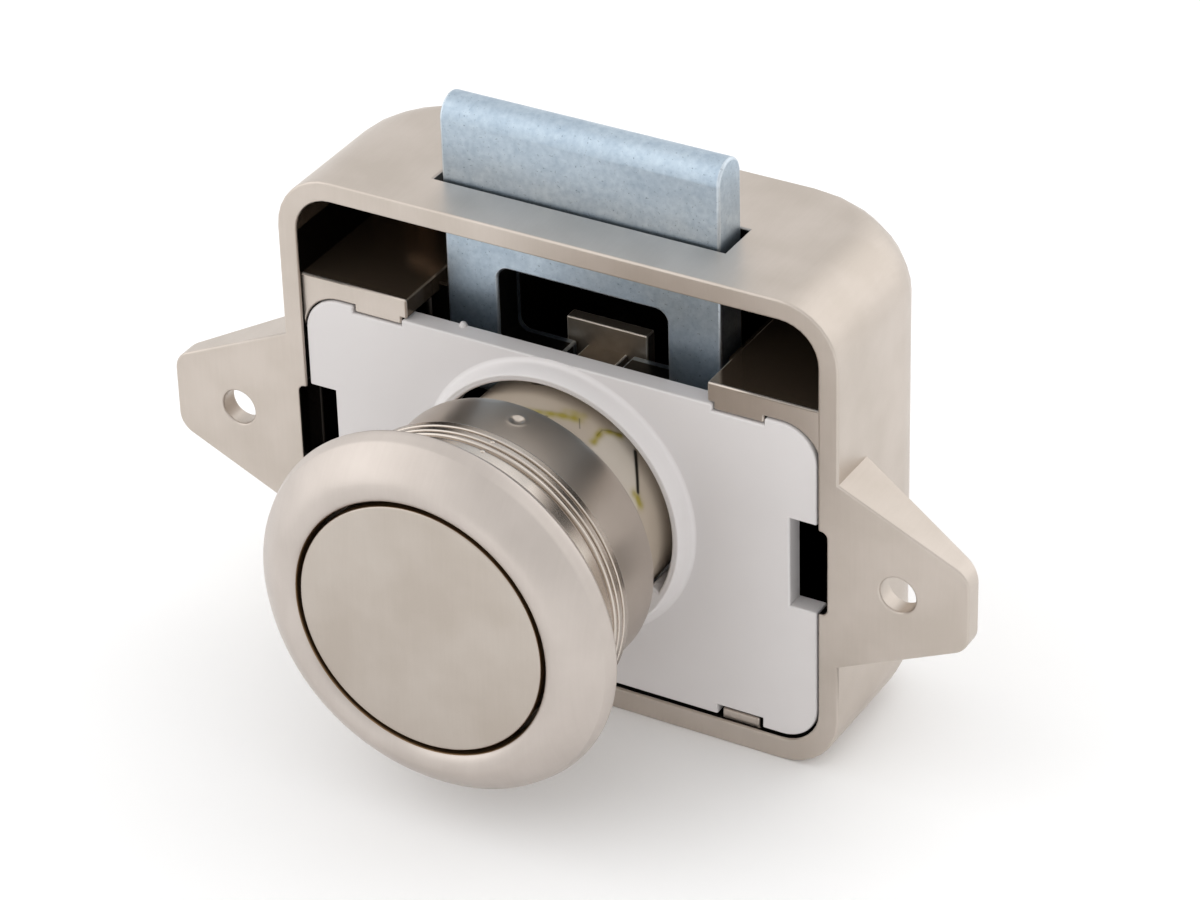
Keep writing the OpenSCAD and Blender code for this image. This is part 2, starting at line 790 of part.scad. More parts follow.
module latch_leaf() {
  reach = latch_y - tip_y - leaf_short;
  color([0.72, 0.72, 0.70])
    difference() {
      union() {
        block([-lug_x, latch_y - reach, -leaf_w/2], [-lug_x + leaf_t, drive_back - 0.1, leaf_w/2]);
        leaf_tab();
        translate([0, latch_y - reach + 1, 0])
          bar_x(0.7, -lug_x + leaf_t/2, -latch_x - latch_r - 0.1);
      }
      translate([0, latch_y, 0])
        bar_x(latch_r + 0.3, -lug_x - 0.01, -lug_x + leaf_t + 1);
    }
}

module knob_barrel() {
  color([0.84, 0.84, 0.86])
    difference() {
      bar_y(knob_r, -barrel_h, barrel_back);
      bar_y(knob_r - barrel_wall, -core_h, barrel_back + 1);
      bar_y(screw_d/2 + press_gap, -barrel_h - 1, 0);
      screw_head(press_gap, 0);
    }
}

// Countersunk head under the face disc, opened by a clearance
module screw_head(gap, drop) {
  depth = (screw_head_d - screw_d)/2;
  turned()
    polygon([[0, barrel_h - drop], [screw_head_d/2 + gap, barrel_h - drop], [screw_d/2 + gap, barrel_h - drop - depth],
      [0, barrel_h - drop - depth]]);
}

module knob_disc() {
  color([0.80, 0.77, 0.73])
    turned()
      polygon([[0, barrel_h], [knob_r, barrel_h], [knob_r, disc_h - disc_edge], [knob_r - disc_edge, disc_h], [0, disc_h]]);
}

module knob_screw() {
  drop = press_gap;
  color([0.50, 0.50, 0.52])
    difference() {
      union() {
        screw_head(0, drop);
        bar_y(screw_d/2, -barrel_h + drop, -barrel_h + screw_len);
      }
      for (a = [0, 90])
        rotate([0, a, 0])
          block([-screw_d/2, -barrel_h - 1, -0.45], [screw_d/2, -barrel_h + 1, 0.45]);
    }
}

module ring_outline() {
  outer = ring_d/2;
  limb_h = panel_t + limb_up;
  crest = bore_r + crest_in;
  seat = sleeve_r + press_gap;
  lip_round = crest_in/2;
  power = 2/ring_full;
  steps = 14;
  polygon(concat(
    [[seat, panel_t - neck_len], [neck_r, panel_t - neck_len], [neck_r, panel_t - neck_root],
     [neck_r + ridge_h, panel_t - neck_root], [neck_r + ridge_h, panel_t], [land_r, panel_t],
     [outer, panel_t + land_in]],
    [for (i = [0:steps]) let (t = 90*i/steps)
      [crest + (outer - crest)*pow(cos(t), power), limb_h + (lip_h - limb_h)*pow(sin(t), power)]],
    arc([crest, lip_h - lip_round], bore_r - crest, lip_round, 90, 0, 8),
    [[bore_r, sleeve_h], [seat, sleeve_h]]));
  for (i = [0:ridges - 1])
    let (step = (neck_len - neck_root)/ridges, h = panel_t - neck_len + step*(i + 0.5))
      translate([neck_r - 0.1, h - step*0.3])
        square([ridge_h + 0.1, step*0.6]);
}

module rosette_ring() {
  color([0.79, 0.76, 0.72])
    turned()
      ring_outline();
}

module rosette_sleeve() {
  color([0.85, 0.85, 0.87])
    difference() {
      bar_y(sleeve_r, -sleeve_h, -sleeve_end);
      bar_y(bore_r, -sleeve_h - 1, -sleeve_end + 1);
    }
}

case();
cover();
bolt();
driver();
drive_pin();
drive_rollers();
bolt_springs();
spring_pins();
plunger();
plunger_spring();
spring_bridge();
spring_post();
bridge_screws();
latch_pin();
latch_leaf();
knob_barrel();
knob_disc();
knob_screw();
rosette_ring();
rosette_sleeve();
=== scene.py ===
"""Looks of a push button cabinet lock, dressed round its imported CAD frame.

Lengths are in millimetres and become metres when a mesh is made. The button axis is the Y axis, a
height h in front of the case rim is y = -h, and the bolt shoots up along Z. Turned pieces are profiles
of radius and height carried round the axis; flat pieces are the CAD solids with their edges rounded.
"""
import math

import bmesh
import bpy
import numpy as np
from mathutils import Matrix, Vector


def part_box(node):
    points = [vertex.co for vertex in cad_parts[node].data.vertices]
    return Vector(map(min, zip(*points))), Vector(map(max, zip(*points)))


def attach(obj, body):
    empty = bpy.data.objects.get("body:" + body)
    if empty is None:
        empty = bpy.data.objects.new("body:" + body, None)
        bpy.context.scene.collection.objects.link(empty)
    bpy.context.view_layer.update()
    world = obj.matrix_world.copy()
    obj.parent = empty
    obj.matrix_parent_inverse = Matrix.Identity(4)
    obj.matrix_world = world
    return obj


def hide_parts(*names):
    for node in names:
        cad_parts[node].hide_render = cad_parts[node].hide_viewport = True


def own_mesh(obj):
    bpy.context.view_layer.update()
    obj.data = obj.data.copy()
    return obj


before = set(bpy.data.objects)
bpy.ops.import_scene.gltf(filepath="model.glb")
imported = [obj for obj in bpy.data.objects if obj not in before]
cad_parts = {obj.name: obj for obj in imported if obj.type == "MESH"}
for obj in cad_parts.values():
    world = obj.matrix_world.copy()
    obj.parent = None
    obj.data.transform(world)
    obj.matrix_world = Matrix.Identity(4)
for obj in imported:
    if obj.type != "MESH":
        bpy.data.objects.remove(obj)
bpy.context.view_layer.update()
scene = bpy.context.scene
MM = 0.001

# Sizes from the part's source: button and rosette, with radii R and heights H in front of the case rim
KNOB_R = 12.05
BORE_R = 12.6
SLEEVE_R = 13.9
SLEEVE_BACK = 6.8
SLEEVE_FRONT = 21.3
SEAT_R = 13.95
NECK_R = 14.8
NECK_BACK = 13.1
PANEL_H = 19.0
LAND_R = 16.6
RING_R = 17.8
BEVEL_H = 20.2
CREST_R = 14.1
LIP_H = 24.3
DISC_H = 24.1
DISC_BACK = 22.9
PLUNGER_R = 11.4

# Sizes from the part's source: springs and the travel of the joints
SPRING_X = 9.5
SPRING_Y = 7.5
PLUNGER_SPRING_Z = -7.6
TRAVEL = 8.4
SLAM = 8.0
OVER_PRESS = 1.0

# Sizes from the part's source: inside of the case, pockets in its rim, bolt and window, cover and collar
CASE_X = 26.5
CASE_LOW = -19.0
CASE_HIGH = 24.7
CASE_R = 3.8
CASE_FLOOR = 16.9
RIB_FRONT = 0.5
POCKET_OUT = 0.85
POCKET_HALF = 4.6
BOLT_FRONT = 5.5
BOLT_BACK = 9.5
WINDOW_X = 8.7
WINDOW_LOW = 8.2
WINDOW_HIGH = 18.9
COLLAR_H = 1.5
COLLAR_LIP_R = 13.35
COVER_H = -0.3

# The disc's visible edge is a little wider than its solid, for the narrow gap in the photograph
DISC_R = KNOB_R + 0.13

# Grooves turned in the rosette's neck: height, half width and depth
GROOVES = np.array([(13.97, 0.09, 0.40), (14.85, 0.10, 0.42), (15.6, 0.15, 0.50)])

# Sockets of the Mix node: what it mixes by, two numbers, two colours, and what comes out
MIX_BY, NUMBER_1, NUMBER_2, COLOUR_1, COLOUR_2 = 0, 2, 3, 6, 7
NUMBER_OUT, COLOUR_OUT = 0, 2


def linear(code):
    """An sRGB hex colour as linear RGBA."""
    c = np.array([int(code[i:i + 2], 16) for i in (1, 3, 5)]) / 255
    return (*np.where(c <= 0.04045, c / 12.92, ((c + 0.055) / 1.055) ** 2.4), 1.0)


def add(tree, kind, inputs=None, **settings):
    """Adds a node with its settings, and sets or links its inputs."""
    made = tree.nodes.new(kind)
    for name, value in settings.items():
        setattr(made, name, value)
    for name, value in (inputs or {}).items():
        if isinstance(value, bpy.types.NodeSocket):
            tree.links.new(value, made.inputs[name])
        else:
            made.inputs[name].default_value = value
    return made


def finish(name):
    """A new material: its node tree, its shader and its Object coordinates."""
    material = bpy.data.materials.new(name)
    material.use_nodes = True
    tree = material.node_tree
    shader = tree.nodes["Principled BSDF"]
    place = add(tree, "ShaderNodeTexCoord").outputs["Object"]
    return material, tree, shader, place


def per_mm(size):
    """Texture scale that gives features of a size in millimetres."""
    return 1000 / size


def satin_nickel(name, light, deep, painted_inside_shade=False):
    """Nickel plate on a blasted and brushed zinc casting: warm grey, soft gloss, clouds of 7 mm crossed by
    faint brush lines 0.3 mm apart, and a fine even grain. The grain is really about 0.05 mm and is drawn at
    0.16 mm so that it shows. Inside the case the colour carries painted shade: brown and shiny, and deep
    inside nearly black."""
    material, tree, shader, place = finish(name)
    cloud = add(tree, "ShaderNodeTexNoise", {"Vector": place, "Scale": per_mm(7), "Detail": 3.0})
    grain = add(tree, "ShaderNodeTexNoise", {"Vector": place, "Scale": per_mm(0.16), "Detail": 2.0})
    lines = (per_mm(0.3), per_mm(3), per_mm(5))
    along = add(tree, "ShaderNodeMapping", {"Vector": place, "Scale": lines}).outputs["Vector"]
    brush = add(tree, "ShaderNodeTexNoise", {"Vector": along, "Scale": 1.0, "Detail": 3.0})
    both = add(tree, "ShaderNodeMix",
               {MIX_BY: 0.15, NUMBER_1: cloud.outputs["Fac"], NUMBER_2: brush.outputs["Fac"]})
    spread = add(tree, "ShaderNodeMapRange",
                 {"Value": both.outputs[NUMBER_OUT], "From Min": 0.35, "From Max": 0.65})
    tint = add(tree, "ShaderNodeMix",
               {MIX_BY: spread.outputs["Result"], COLOUR_1: linear(light), COLOUR_2: linear(deep)},
               data_type="RGBA")
    gloss = add(tree, "ShaderNodeMapRange",
                {"Value": grain.outputs["Fac"], "To Min": 0.32, "To Max": 0.46})
    bump = add(tree, "ShaderNodeBump",
               {"Height": grain.outputs["Fac"], "Strength": 0.12, "Distance": 0.02 * MM})
    colour = tint.outputs[COLOUR_OUT]
    rough = gloss.outputs["Result"]
    # Painted shade inside the case: brown at depth 1, nearly black at depth 2
    if painted_inside_shade:
        depth = add(tree, "ShaderNodeAttribute", attribute_name="inside").outputs["Fac"]
        deeper = add(tree, "ShaderNodeMath", {0: depth, 1: 1.0}, operation="SUBTRACT").outputs["Value"]
        brown = add(tree, "ShaderNodeMix",
                    {MIX_BY: depth, COLOUR_1: colour, COLOUR_2: linear("#7d6c5b")}, data_type="RGBA")
        black = add(tree, "ShaderNodeMix",
                    {MIX_BY: deeper, COLOUR_1: brown.outputs[COLOUR_OUT], COLOUR_2: linear("#1c1814")},
                    data_type="RGBA")
        shiny = add(tree, "ShaderNodeMix", {MIX_BY: depth, NUMBER_1: rough, NUMBER_2: 0.13})
        skin = add(tree, "ShaderNodeMix", {MIX_BY: depth, NUMBER_1: 1.0, NUMBER_2: 0.8})
        tree.links.new(skin.outputs[NUMBER_OUT], shader.inputs["Metallic"])
        colour = black.outputs[COLOUR_OUT]
        rough = shiny.outputs[NUMBER_OUT]
    tree.links.new(colour, shader.inputs["Base Color"])
    tree.links.new(rough, shader.inputs["Roughness"])
    tree.links.new(bump.outputs["Normal"], shader.inputs["Normal"])
    shader.inputs["Metallic"].default_value = 1.0
    return material


def zinc_plate(name, light, deep, painted_inside_shade=False):
    """Blue passivated zinc on pressed steel: mottled blue grey crystals about 0.6 mm across in clouds
    of 3 mm, a finer grain of 0.2 mm and small dark pits. The walls of the window are darkened with
    painted shade, up to a back edge 0.5 mm wide that keeps the zinc's own colour."""
    material, tree, shader, place = finish(name)
    mottle = add(tree, "ShaderNodeTexNoise",
                 {"Vector": place, "Scale": per_mm(0.6), "Detail": 3.0, "Roughness": 0.6})
    cloud = add(tree, "ShaderNodeTexNoise", {"Vector": place, "Scale": per_mm(3), "Detail": 2.0})
    grain = add(tree, "ShaderNodeTexNoise", {"Vector": place, "Scale": per_mm(0.2), "Detail": 2.0})
    mixed = add(tree, "ShaderNodeMix",
                {MIX_BY: 0.3, NUMBER_1: mottle.outputs["Fac"], NUMBER_2: cloud.outputs["Fac"]})
    spread = add(tree, "ShaderNodeMapRange",
                 {"Value": mixed.outputs[NUMBER_OUT], "From Min": 0.30, "From Max": 0.70})
    tint = add(tree, "ShaderNodeMix",
               {MIX_BY: spread.outputs["Result"], COLOUR_1: linear(light), COLOUR_2: linear(deep)},
               data_type="RGBA")
    pits = add(tree, "ShaderNodeMapRange",
               {"Value": grain.outputs["Fac"], "From Min": 0.66, "From Max": 0.74, "To Max": 0.7})
    pitted = add(tree, "ShaderNodeMix",
                 {MIX_BY: pits.outputs["Result"], COLOUR_1: tint.outputs[COLOUR_OUT],
                  COLOUR_2: linear("#6f7c8a")}, data_type="RGBA")
    gloss = add(tree, "ShaderNodeMapRange",
                {"Value": cloud.outputs["Fac"], "To Min": 0.32, "To Max": 0.48})
    bump = add(tree, "ShaderNodeBump",
               {"Height": mottle.outputs["Fac"], "Strength": 0.25, "Distance": 0.03 * MM})
    colour = pitted.outputs[COLOUR_OUT]
    # Painted shade on the window's walls, fading out between 0.85 and 0.7 mm before the back face
    if painted_inside_shade:
        depth = add(tree, "ShaderNodeAttribute", attribute_name="inside").outputs["Fac"]
        back = add(tree, "ShaderNodeSeparateXYZ", {0: place}).outputs["Y"]
        shade_up_to_back = add(tree, "ShaderNodeMapRange",
                   {"Value": back, "From Min": (BOLT_BACK - 0.85) * MM, "From Max": (BOLT_BACK - 0.7) * MM,
                    "To Min": 1.0, "To Max": 0.0}).outputs["Result"]
        dark = add(tree, "ShaderNodeMath", {0: depth, 1: shade_up_to_back}, operation="MULTIPLY").outputs["Value"]
        colour = add(tree, "ShaderNodeMix", {MIX_BY: dark, COLOUR_1: colour, COLOUR_2: linear("#454543")},
                     data_type="RGBA").outputs[COLOUR_OUT]
    tree.links.new(colour, shader.inputs["Base Color"])
    tree.links.new(gloss.outputs["Result"], shader.inputs["Roughness"])
    tree.links.new(bump.outputs["Normal"], shader.inputs["Normal"])
    shader.inputs["Metallic"].default_value = 1.0
    return material


def bare_metal(name, light, deep, cloud_mm, low, high):
    """Drawn, turned or plated metal with a faint cloudiness: two close colours over a cloud of a given
    size, with its roughness between two limits."""
    material, tree, shader, place = finish(name)
    cloud = add(tree, "ShaderNodeTexNoise", {"Vector": place, "Scale": per_mm(cloud_mm), "Detail": 3.0})
    tint = add(tree, "ShaderNodeMix",
               {MIX_BY: cloud.outputs["Fac"], COLOUR_1: linear(light), COLOUR_2: linear(deep)},
               data_type="RGBA")
    gloss = add(tree, "ShaderNodeMapRange",
                {"Value": cloud.outputs["Fac"], "To Min": low, "To Max": high})
    tree.links.new(tint.outputs[COLOUR_OUT], shader.inputs["Base Color"])
    tree.links.new(gloss.outputs["Result"], shader.inputs["Roughness"])
    shader.inputs["Metallic"].default_value = 1.0
    return material


def moulded(name, light, deep, rough, cloud_mm=9, stains=()):
    """Moulded plastic: one colour with a faint flow pattern and a skin that is slightly uneven at 0.4 mm.
    Each stain is an attribute of the mesh and the colour that it mixes in."""
    material, tree, shader, place = finish(name)
    flow = add(tree, "ShaderNodeTexNoise", {"Vector": place, "Scale": per_mm(cloud_mm), "Detail": 2.0})
    skin = add(tree, "ShaderNodeTexNoise", {"Vector": place, "Scale": per_mm(0.4), "Detail": 2.0})
    tint = add(tree, "ShaderNodeMix",
               {MIX_BY: flow.outputs["Fac"], COLOUR_1: linear(light), COLOUR_2: linear(deep)},
               data_type="RGBA")
    gloss = add(tree, "ShaderNodeMapRange",
                {"Value": skin.outputs["Fac"], "To Min": rough - 0.05, "To Max": rough + 0.05})
    bump = add(tree, "ShaderNodeBump",
               {"Height": skin.outputs["Fac"], "Strength": 0.05, "Distance": 0.02 * MM})
    colour = tint.outputs[COLOUR_OUT]
    for attribute, code in stains:
        amount = add(tree, "ShaderNodeAttribute", attribute_name=attribute).outputs["Fac"]
        colour = add(tree, "ShaderNodeMix", {MIX_BY: amount, COLOUR_1: colour, COLOUR_2: linear(code)},
                     data_type="RGBA").outputs[COLOUR_OUT]
    tree.links.new(colour, shader.inputs["Base Color"])
    tree.links.new(gloss.outputs["Result"], shader.inputs["Roughness"])
    tree.links.new(bump.outputs["Normal"], shader.inputs["Normal"])
    shader.inputs["IOR"].default_value = 1.49
    return material


# Satin nickel plate on the castings and the turned ring: warm grey with a soft, slightly cloudy gloss; the
# casting's copy carries painted shade inside the case
NICKEL = satin_nickel("satin_nickel_casting", "#cac0b7", "#c0b6ac", painted_inside_shade=True)
NICKEL_TURNED = satin_nickel("satin_nickel_turned", "#c8bfb8", "#beb5ae")
# A darker copy of the nickel for the button's face: painted shade
NICKEL_DISC_SHADED = satin_nickel("satin_nickel_disc_shaded", "#bfb6ad", "#b6aca2")

# Nickel left as turned on the neck: brighter, with narrow lights in the grooves
NICKEL_NECK = bare_metal("turned_nickel", "#d2c9c0", "#c5bbb1", cloud_mm=2, low=0.18, high=0.26)

# Painted shade on the walls of the narrow gap between the button's face and the ring's bore: dark brown and
# matt
GAP_SHADE = bare_metal("nickel_gap_shade", "#9a7f60", "#836a4d", cloud_mm=2, low=0.40, high=0.52)

# Blue passivated zinc on the pressed bolt: cool and mottled, paler along its rounded edges, with painted
# shade on the window's walls
ZINC = zinc_plate("blue_zinc_plate", "#bfcdd8", "#a3b3c2", painted_inside_shade=True)
# A paler copy of the zinc on the bolt's rounded edges
ZINC_EDGE = zinc_plate("paler_zinc_plate_edge", "#d4dde4", "#bfcad4")

# Chrome plate on the drawn sleeve: broad reflections from light to dark
CHROME = bare_metal("bright_chrome", "#c8beb4", "#bbb1a7", cloud_mm=4, low=0.28, high=0.38)

# Drawn steel of pins and screws, and oiled spring wire: plain grey, the wire darker
STEEL = bare_metal("drawn_steel", "#9a9a9d", "#858588", cloud_mm=1.5, low=0.25, high=0.40)
SPRING = bare_metal("oiled_spring_wire", "#77797d", "#5c5e62", cloud_mm=0.8, low=0.25, high=0.40)

# Bare zinc casting under grease: matt and brownish, much lighter on its rounded edges
CAST = bare_metal("greased_zinc_casting", "#b4a798", "#968b7e", cloud_mm=1.2, low=0.50, high=0.62)
CAST_EDGE = bare_metal("paler_zinc_casting_edge", "#efe6da", "#ded4c6", cloud_mm=1.2, low=0.45, high=0.60)

# Moulded ABS of the cover: white with a silky skin, and a lighter copy on the collar's lip as painted light
WHITE = moulded("white_abs_moulding", "#dfdbda", "#d8d4d3", rough=0.36)
WHITE_LIT_LIP = moulded("white_abs_lip_lit", "#e6e2e1", "#e0dcdb", rough=0.36)

# Moulded acetal of the plunger: cream, stained by olive grease, with painted shade in its slits and painted
# light on a raised lug
CREAM = moulded("cream_acetal_moulding", "#c6b9a9", "#b7a999", rough=0.40, cloud_mm=4)
GREASED = moulded("greased_acetal", "#c6b9a9", "#b7a999", rough=0.36, cloud_mm=4,
                  stains=[("raised_lit_lug", "#d2c9bd"), ("grease", "#a39543"), ("slit_groove_shade", "#1f1a14")])

# Natural nylon of the rollers: warm, slightly yellow and dull
NYLON = moulded("natural_nylon", "#e5dcc0", "#d8cda8", rough=0.45, cloud_mm=2)


def quads(rows, columns, closed=False):
    """Faces of a grid of points kept row by row; closed joins the last column to the first."""
    r, c = np.meshgrid(np.arange(rows - 1), np.arange(columns if closed else columns - 1), indexing="ij")
    n = (c + 1) % columns
    corners = [r * columns + c, r * columns + n, (r + 1) * columns + n, (r + 1) * columns + c]
    return np.stack(corners, -1).reshape(-1, 4).tolist()


def place_piece(made, body, stands_for):
    """Links an object to the scene, hangs it on its body's empty and hides the CAD nodes that it stands
    for.
    """
    scene.collection.objects.link(made)
    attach(made, body)
    if stands_for:
        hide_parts(*stands_for)
    return made


def paint(made, material, chosen):
    """Gives the faces whose middles a rule picks out, by radius and height, one more material."""
    made.data.materials.append(material)
    x, y, z = read(made.data.polygons, "center", 3, float).T / MM
    index = read(made.data.polygons, "material_index", 1, np.int32)
    index[chosen(np.hypot(x, z), -y)] = len(made.data.materials) - 1
    made.data.polygons.foreach_set("material_index", index)


def stain(made, **amounts):
    """Stores amounts from 0 to 1 at the points of a mesh, under their names."""
    for name, values in amounts.items():
        layer = made.data.attributes.new(name, "FLOAT", "POINT")
        layer.data.foreach_set("value", values.astype(np.float32))


def piece(name, points, faces, material, body, slot, stands_for=(), sharp=32):
    """A finished mesh: doubles merged, normals outwards, smooth up to an angle, riding on a body."""
    mesh = bpy.data.meshes.new(name)
    mesh.from_pydata((np.asarray(points, float) * MM).tolist(), [], faces)
    work = bmesh.new()
    work.from_mesh(mesh)
    bmesh.ops.remove_doubles(work, verts=work.verts, dist=1e-6)
    bmesh.ops.recalc_face_normals(work, faces=work.faces)
    work.to_mesh(mesh)
    work.free()
    mesh.shade_smooth()
    mesh.set_sharp_from_angle(angle=math.radians(sharp))
    mesh.materials.append(material)
    return place_piece(bpy.data.objects.new(name, mesh), body, stands_for)


def round_axis(r, h, t):
    """Points at radius r, height h and angle t about the button axis: x = r cos t, y = -h, z = r sin t."""
    return np.stack(np.broadcast_arrays(r * np.cos(t), -h, r * np.sin(t)), -1)


def turned(profile, steps=160):
    """A closed profile of radius and height carried round the button axis."""
    profile = np.asarray(profile, float)
    t = np.linspace(0, 2 * np.pi, steps, endpoint=False)
    r, h = np.vstack([profile, profile[:1]]).T
    points = round_axis(r[:, None], h[:, None], t)
    return points.reshape(-1, 3), quads(len(r), steps, closed=True)


def corner(centre, radius, start, end, steps=6):
    """Points of an arc of radius and height about a centre, between two angles in degrees."""
    t = np.radians(np.linspace(start, end, steps))
    return np.stack([centre[0] + radius * np.cos(t), centre[1] + radius * np.sin(t)], -1)


def bezier(start, one, two, end, steps=40):
    """Points of a cubic curve: (1-t)^3 start + 3 t (1-t)^2 one + 3 t^2 (1-t) two + t^3 end."""
    t = np.linspace(0, 1, steps)[:, None]
    start, one, two, end = (np.asarray(p, float) for p in (start, one, two, end))
    return (1 - t) ** 3 * start + 3 * t * (1 - t) ** 2 * one + 3 * t ** 2 * (1 - t) * two + t ** 3 * end


def read(items, name, width, kind):
    """A property of many mesh items as an array."""
    values = np.empty(len(items) * width, kind)
    items.foreach_get(name, values)
    return values.reshape(-1, width) if width > 1 else values


# Two faces meet in a sharp edge where the cosine between their normals is under this
SHARP_COS = math.cos(math.radians(30))


def edges_to_round(mesh, deepest):
    """Which edges are rounded, and where their middles are. With n1 and n2 the normals of an edge's two
    faces and d its direction along the first, it is sharp where n1.n2 < cos 30 and stands out where
    n2.(n1 x d) < 0. Those that stand out in front of a given depth are rounded."""
    co = read(mesh.vertices, "co", 3, float)
    normal = read(mesh.polygons, "normal", 3, float)
    first = read(mesh.polygons, "loop_start", 1, np.int32)
    total = read(mesh.polygons, "loop_total", 1, np.int32)
    vertex = read(mesh.loops, "vertex_index", 1, np.int32)
    edge = read(mesh.loops, "edge_index", 1, np.int32)
    face = np.repeat(np.arange(len(first)), total)
    after = np.arange(len(vertex)) + 1
    after[first + total - 1] = first
    order = np.argsort(edge, kind="stable")
    count = np.bincount(edge, minlength=len(mesh.edges))
    begin = np.cumsum(count) - count
    pair = np.flatnonzero(count == 2)
    one = order[begin[pair]]
    two = order[begin[pair] + 1]
    start = co[vertex[one]]
    end = co[vertex[after[one]]]
    n1 = normal[face[one]]
    n2 = normal[face[two]]
    bent = (n1 * n2).sum(1) < SHARP_COS
    proud = (n2 * np.cross(n1, end - start)).sum(1) < 0
    middle = np.zeros((len(mesh.edges), 3))
    middle[pair] = (start + end) / 2 / MM
    chosen = np.zeros(len(mesh.edges), bool)
    chosen[pair] = bent & proud
    return chosen & (middle[:, 1] < deepest), middle


def set_normals(mesh, round_face):
    """Normals at face corners. On a flat face, the area-weighted mean of the flat faces at that vertex
    that lie within 30 degrees of it. On a rounded edge, the nearest of the flat faces' normals at that
    vertex or, inside the rounding, the mean of the rounding's own faces."""
    rounding_cos = 0.3
    no_flat_face = -2
    normal = read(mesh.polygons, "normal", 3, float)
    area = read(mesh.polygons, "area", 1, float)
    total = read(mesh.polygons, "loop_total", 1, np.int32)
    vertex = read(mesh.loops, "vertex_index", 1, np.int32)
    face = np.repeat(np.arange(len(total)), total)
    order = np.argsort(vertex, kind="stable")
    count = np.bincount(vertex, minlength=len(mesh.vertices))
    begin = np.cumsum(count) - count
    size = count[vertex]
    block = np.cumsum(size) - size
    here = np.repeat(np.arange(len(vertex)), size)
    there = order[begin[vertex[here]] + np.arange(len(here)) - block[here]]
    near = (normal[face[here]] * normal[face[there]]).sum(1)
    same = round_face[face[here]] == round_face[face[there]]
    limit = np.where(round_face[face[here]], rounding_cos, SHARP_COS)
    weight = area[face[there]] * (same & (near > limit))
    smooth = np.zeros((len(vertex), 3))
    np.add.at(smooth, here, weight[:, None] * normal[face[there]])
    smooth /= np.maximum(np.linalg.norm(smooth, axis=1, keepdims=True), 1e-20)
    to_flat = np.where(round_face[face[there]], no_flat_face, near)
    best = np.maximum.reduceat(to_flat, block)
    hit = np.flatnonzero(to_flat == best[here])
    first_hit = np.unique(here[hit], return_index=True)[1]
    nearest = there[hit[first_hit]]
    take = round_face[face] & (best > no_flat_face)
    result = np.where(take[:, None], smooth[nearest], smooth)
    mesh.shade_smooth()
    mesh.normals_split_custom_set(result.tolist())


def rounded_copy(node, name, materials, body, edge, deepest=99, lip=None, shade=None):
    """A CAD solid with its edges rounded: its triangles merged, coplanar ones joined, and the edges that
    stand out bevelled to a given width, those that lip picks out to another width. Shade gives each face
    the amount of painted shade that its material reads as "inside"."""
    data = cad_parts[node].data
    data.calc_loop_triangles()
    co = read(data.vertices, "co", 3, float)
    corners = read(data.loop_triangles, "vertices", 3, np.int32)
    mesh = bpy.data.meshes.new(name)
    mesh.from_pydata(co.tolist(), [], corners.tolist())
    work = bmesh.new()
    work.from_mesh(mesh)
    bmesh.ops.remove_doubles(work, verts=work.verts, dist=2e-6)
    bmesh.ops.dissolve_limit(work, angle_limit=math.radians(0.5), verts=work.verts, edges=work.edges)
    for width, pick in ([lip] if lip else []) + [(edge, None)]:
        work.to_mesh(mesh)
        chosen, middle = edges_to_round(mesh, deepest)
        if pick:
            chosen &= pick(middle)
        rounded = [e for e, take in zip(work.edges, chosen) if take]
        bmesh.ops.bevel(work, geom=rounded, offset=width * MM, offset_type="OFFSET", segments=4,
                        profile=0.5, affect="EDGES", clamp_overlap=False, material=1)
        work.normal_update()
    work.to_mesh(mesh)
    work.free()
    for material in materials:
        mesh.materials.append(material)
    set_normals(mesh, read(mesh.polygons, "material_index", 1, np.int32) == 1)
    if shade:
        values = shade(read(mesh.polygons, "center", 3, float) / MM)
        mesh.attributes.new("inside", "FLOAT", "FACE").data.foreach_set("value", values)
    return place_piece(bpy.data.objects.new(name, mesh), body, [node])


def collar_lip(middle):
    """The edges of the collar's front lip: radius up to 0.25 mm past it, and within 0.3 mm of its front."""
    x, y, z = middle.T
    return (np.hypot(x, z) < COLLAR_LIP_R + 0.25) & (y < 0.3 - COLLAR_H)


def inside_shade(middle):
    """Depth of the painted shade on the case's faces: 0 outside, 1 inside above the ribs, 2 below them and
    in the rim's pockets. The outline's distance is |max(p - h, 0)| - r for a rounded rectangle; a face
    counts from behind the ribs' rounded fronts, and in a pocket up to 4 mm behind the rim."""
    x, y, z = middle.T
    ribs_z = 15.0
    pocket_back = 4.0
    on_wall = 0.06
    middle_z = (CASE_HIGH + CASE_LOW) / 2
    half_z = (CASE_HIGH - CASE_LOW) / 2
    over_x = np.maximum(abs(x) - CASE_X + CASE_R, 0)
    over_z = np.maximum(abs(z - middle_z) - half_z + CASE_R, 0)
    beyond = np.hypot(over_x, over_z) - CASE_R
    within = (beyond < on_wall) & (y > RIB_FRONT + 0.25) & (y < CASE_FLOOR + 0.05)
    in_rim = (beyond > on_wall) & (beyond < POCKET_OUT + 0.1)
    pocket = in_rim & (abs(z) < POCKET_HALF) & (y > 0.1) & (y < pocket_back)
    deep = pocket | (within & (z < ribs_z))
    return np.select([deep, within], [2.0, 1.0], 0.0).astype(np.float32)


def window_shade(middle):
    """Where the bolt's painted shade goes: 1 on the walls of the bolt's window and notch between the
    rounded edges, 0 elsewhere.
    """
    x, y, z = middle.T
    beside = abs(x) < WINDOW_X + 0.1
    level = (z > WINDOW_LOW - 0.3) & (z < WINDOW_HIGH + 0.1)
    behind = (y > BOLT_FRONT + 0.2) & (y < BOLT_BACK - 0.3)
    return (beside & level & behind).astype(np.float32)


